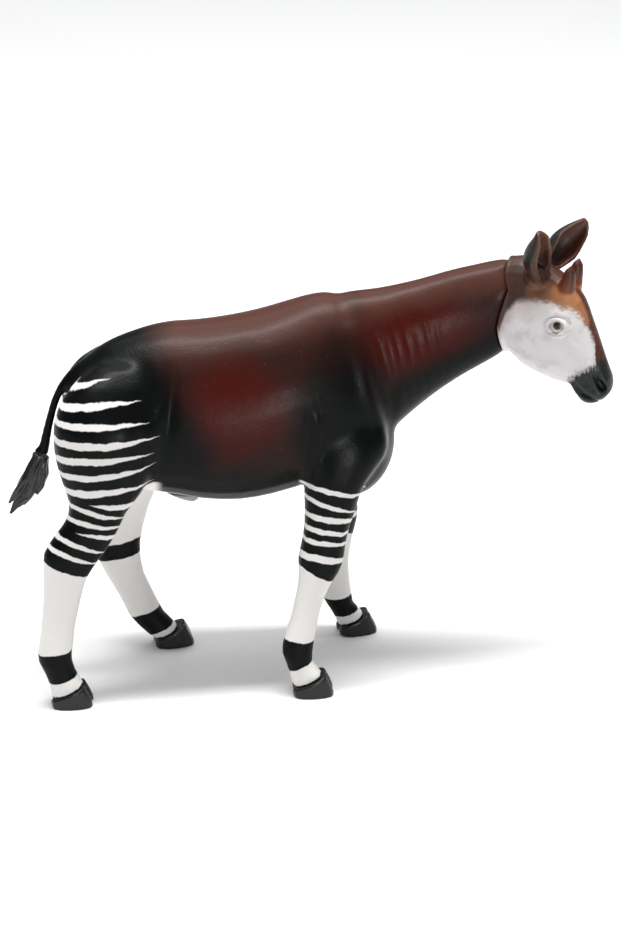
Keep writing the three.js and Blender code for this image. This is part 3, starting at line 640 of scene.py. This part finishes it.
face = Paint("head_paint")
east = face.x - HEAD_SPOT.x
north = face.y - HEAD_SPOT.y
ahead = east * FORWARD.x + north * FORWARD.y
out = abs(east * LEFTWARD.x + north * LEFTWARD.y)
up = face.z
hairs = face.noise(0.55, 3, 1, (0.5, 0.5, 1)) * 2.6 + face.noise(2.5, 2, 3) * 1.6
over_cheek = up - height_along(face, ahead, CHEEK_EDGE, 76, 24)
nape = ahead.rise(9, 2)
crown = (over_cheek + hairs * (1 - nape * 0.6)).rise(-0.9, 1.5)
brow = oval(ahead, up, (10.4, 97.2), (4.6, 3.0), 0.7)
below_horn = oval(ahead, up, (14.6, 93.2), (2.4, 3.2), 0.7) * 0.7
behind_horn = oval(ahead, up, (5.2, 98.2), (3.2, 2.6), 0.8) * 0.55
tan = strongest([brow, below_horn, behind_horn]) * out.rise(0.8, 2.2)
muzzle = (up - line_height(ahead, (12.7, 77.6), (19.3, 82.2)) + face.noise(0.5, 3, 13, (1, 1, 0.4)) * 5)
muzzle = muzzle.rise(1.4, -1.4) * (ahead + face.noise(0.5, 2, 14) * 2).rise(11.2, 13)
tone = face.mix(face.noise(3.5, 4, 17).rise(-0.05, 0.3) * 0.7, FACE_WHITE, DULL_WHITE)
jowl = (up - line_height(ahead, (9, 82), (18, 88))).rise(3, -7)
brushed = face.noise(0.45, 3, 31, (1.6, 1.6, 0.5)).rise(0.02, 0.3) * jowl
tone = face.mix(brushed * 0.45, tone, HAIR_GREY)
tone = face.mix(over_cheek.rise(-6, 0.5) * nape * 0.55, tone, NAPE_VEIL)
blotch = face.mix(face.noise(2.2, 3, 18).rise(-0.25, 0.35), CROWN_DARK, CROWN_LIGHT)
tone = face.mix(crown, tone, blotch)
tone = face.mix(tan * crown * 0.9, tone, TAN)
dusk = (up - line_height(ahead, (16, 88), (21, 80))).rise(3, -5) * crown
tone = face.mix(dusk * 0.6, tone, DUSK)
tone = face.mix(muzzle, tone, face.mix(face.noise(0.8, 2, 19).rise(0, 0.4), MUZZLE, MUZZLE_DUST))
horn = oval(ahead, up, (11.6, 103.4), (4.2, 5.4), 0.3) * ahead.rise(7.5, 8.5)
horn_tone = face.mix(up.rise(98.5, 103), HORN_FOOT, HORN_TIP)
tone = face.mix(horn * up.rise(97.5, 99), tone, horn_tone)
over_head = (up - line_height(ahead, (-4, 104), (14, 108))).rise(-1.5, 1.5)
ear = over_head * (out - 3.2).rise(0, 1.2) * (1 - horn)
rolled = face.node("ShaderNodeAttribute", {"attribute_name": "ear_back"}, {}, "Fac")
ear_tone = face.mix(rolled + face.noise(1.4, 2, 23) * 0.5, EAR_INSIDE, EAR_BACK)
tone = face.mix(ear, tone, ear_tone)
joint = height_along(face, up, list(zip(JOINT_HEIGHTS, JOINT_BEND)), -2, 4)
seam = (ahead - (HEAD_JOINT + 0.15) - joint).rise(0.25, 0.1) * up.rise(86, 88)
tone = face.mix(seam * 0.5, tone, JOINT_BROWN)
roughness = 0.40 + face.noise(1, 2, 5) * 0.12
head.data.materials.append(face.finish(tone, roughness, face.noise(0.4, 3, 2) * 0.8, shine=0.3))

# The back of each ear is painted darker than its hollow: how far each part of the head's
# skin faces away from the hollows is kept with the mesh, for the paint to read.
away = normals_of(head) @ (-np.array(FORWARD) * 0.8 + np.array((0, 0, 0.1)))
marks = head.data.attributes.new("ear_back", "FLOAT", "POINT")
marks.data.foreach_set("value", ease(away, -0.05, 0.35).astype(np.float32))

# Eyes: cream-painted balls in the head casting's lids, each with a round dark pupil that
# looks out and a little forward, glazed with clear lacquer.
BALL_RADIUS = 2.25
EYE_CREAM = (0.64, 0.58, 0.52)
PUPIL_RIM = (0.56, 0.48, 0.40)
PUPIL = (0.018, 0.010, 0.008)
for side, name in ((-1, "eye_right"), (1, "eye_left")):
    bpy.ops.object.select_all(action="DESELECT")
    centre = in_head(EYE_FORWARD, side * (EYE_OUT - 0.25), EYE_UP)
    bpy.ops.mesh.primitive_uv_sphere_add(segments=64, ring_count=32, radius=BALL_RADIUS * MM,
                                         location=place(*centre))
    ball = bpy.context.object
    ball.name = f"{name}_ball"
    bpy.ops.object.transform_apply(location=True, rotation=True, scale=True)
    bpy.ops.object.shade_smooth()
    glaze = Paint(f"{name}_paint")
    pupil = in_head(EYE_FORWARD + 0.25, side * (EYE_OUT + 1.85), EYE_UP + 0.35)
    gap = glaze.node("ShaderNodeVectorMath", {"operation": "DISTANCE"},
                     {0: glaze.spot, 1: tuple(pupil)}, "Value")
    gap = gap + glaze.noise(0.6, 2, 3) * 0.12
    white_of_eye = glaze.mix(gap.rise(1.5, 1.05), EYE_CREAM, PUPIL_RIM)
    shade = glaze.mix(gap.rise(0.98, 0.86), white_of_eye, PUPIL)
    roughness = 0.24 + glaze.noise(1, 1, 2) * 0.05
    ball.data.materials.append(glaze.finish(shade, roughness, coat=0.15, shine=0.35))
    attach(ball, "root")
    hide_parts(name)

# Hooves: two claws each, cast with the legs and lacquered gloss black, with faint growth
# rings round the wall and a flat sole.
HOOF_GRID = 0.2
HOOF_FUSE = 0.12
HOOF_BLACK = (0.003, 0.0035, 0.004)
HOOF_GREY = (0.009, 0.0095, 0.01)
lacquer = Paint("hoof_lacquer")
growth = (lacquer.z * 5 + lacquer.noise(2, 2, 4) * 3).maths("SINE")
shade = lacquer.mix(lacquer.noise(2, 2).rise(-0.2, 0.4), HOOF_BLACK, HOOF_GREY)
relief = growth * 0.1 + lacquer.noise(0.6, 2, 6)
lacquer.finish(shade, 0.2 + lacquer.noise(1, 2, 3) * 0.12, relief, coat=0.1, shine=0.35)
for corner in ("front_right", "front_left", "hind_right", "hind_left"):
    hoof = fused(f"{corner}_hoof_casting", [f"{corner}_hoof"], HOOF_GRID, HOOF_FUSE)
    soften(hoof, 9)
    spots = points_of(hoof)
    spots[:, 2] = np.maximum(spots[:, 2], 0)
    set_points(hoof, spots)
    select_only(hoof)
    bpy.ops.object.shade_smooth()
    hoof.data.materials.append(lacquer.material)
    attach(hoof, "root")
    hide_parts(f"{corner}_hoof")

# Tail tuft: locks of hair cast in one piece with the tail, scored along their length, and
# lacquered black like the hooves.
TUFT_GRID = 0.17
TUFT_FUSE = 0.1
TUFT_BLACK = (0.003, 0.0035, 0.0035)
TUFT_BROWN = (0.016, 0.013, 0.011)
TUFT_TOP = np.array((-64, 0, 59))
TUFT_END = np.array((-72.5, 0, 43.5))
SCORES = 9
tuft = fused("tail_tuft_casting", ["tail_tuft"], TUFT_GRID, TUFT_FUSE)
soften(tuft, 6)
spots = points_of(tuft)
run = (TUFT_END - TUFT_TOP) / np.linalg.norm(TUFT_END - TUFT_TOP)
down = (spots - TUFT_TOP) @ run
across = spots - TUFT_TOP - down[:, None] * run
turn = np.arctan2(across[:, 1], across @ np.cross(run, (0, 1, 0)))
score = np.sin(turn * SCORES + np.sin(down * 0.55) * 1.6) * 0.16 * ease(down, 0, 3)
set_points(tuft, spots + normals_of(tuft) * score[:, None])
select_only(tuft)
bpy.ops.object.shade_smooth()
hair = Paint("tuft_lacquer")
shade = hair.mix(hair.noise(1.2, 2).rise(-0.2, 0.4), TUFT_BLACK, TUFT_BROWN)
relief = hair.noise(0.35, 2, 6, (1, 1, 0.3))
hair.finish(shade, 0.24 + hair.noise(1, 2, 3) * 0.12, relief, 0.08, coat=0.3, shine=0.4)
tuft.data.materials.append(hair.material)
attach(tuft, "root")
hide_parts("tail_tuft")
